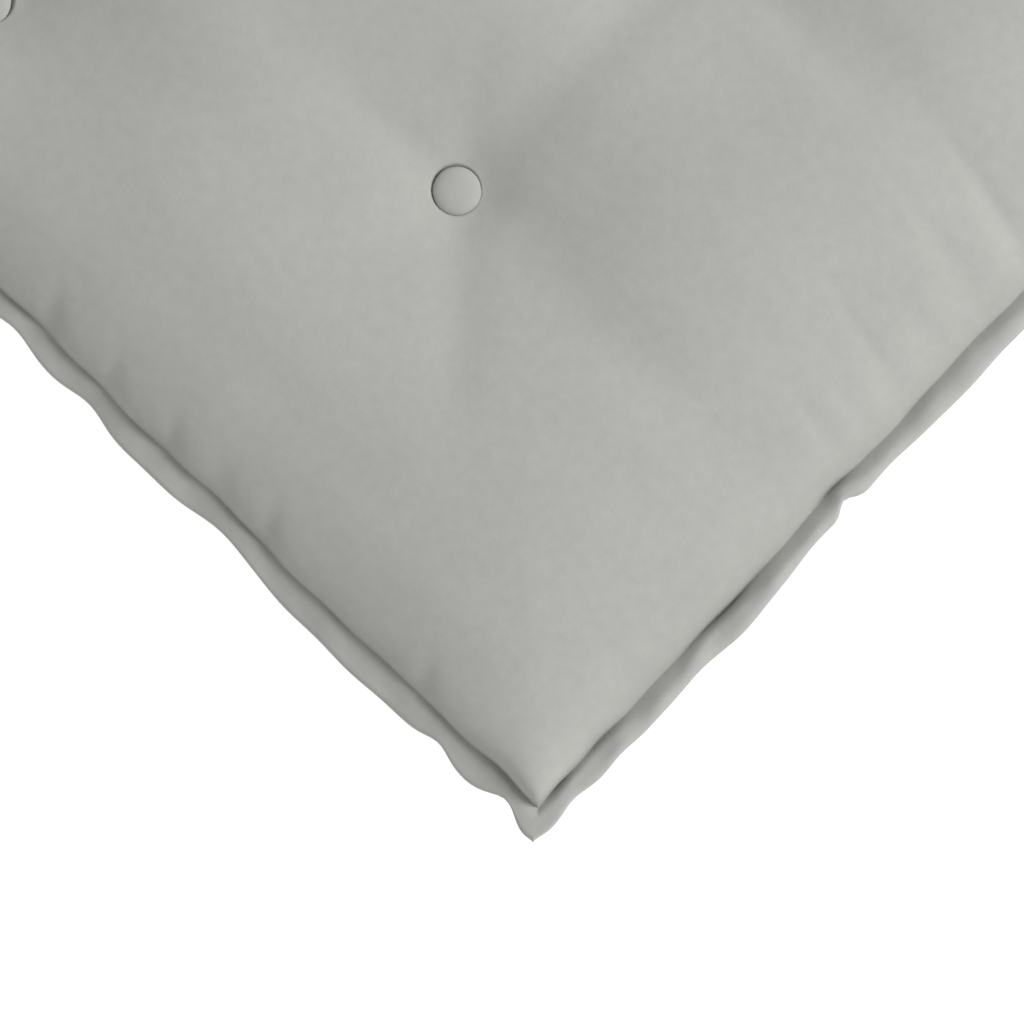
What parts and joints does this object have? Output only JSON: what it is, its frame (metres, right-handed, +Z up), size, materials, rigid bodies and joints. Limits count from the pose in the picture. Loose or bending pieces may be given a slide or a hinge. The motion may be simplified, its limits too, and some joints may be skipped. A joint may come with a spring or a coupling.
{
  "type": "back cushion",
  "caption": "Rectangular back cushion with a soft crowned front, a flat flange sewn off round its edge and covered tufting buttons set in dimples.",
  "frame": {"origin": "on the surface the cushion lies on, under its middle", "axes": "+X along the long side, +Y along the short side, +Z up out of the tufted front"},
  "size_m": [0.8142, 0.5045, 0.0612],
  "materials": {
    "velvet_cover": "short-pile velvet, light warm grey",
    "velvet_button": "the same velvet, drawn tight over a button form"
  },
  "bodies": {
    "root": {"cushion": "velvet_cover", "button_1": "velvet_button", "button_2": "velvet_button", "button_3": "velvet_button", "button_4": "velvet_button", "button_5": "velvet_button", "button_6": "velvet_button", "button_7": "velvet_button"}
  },
  "joints": []
}
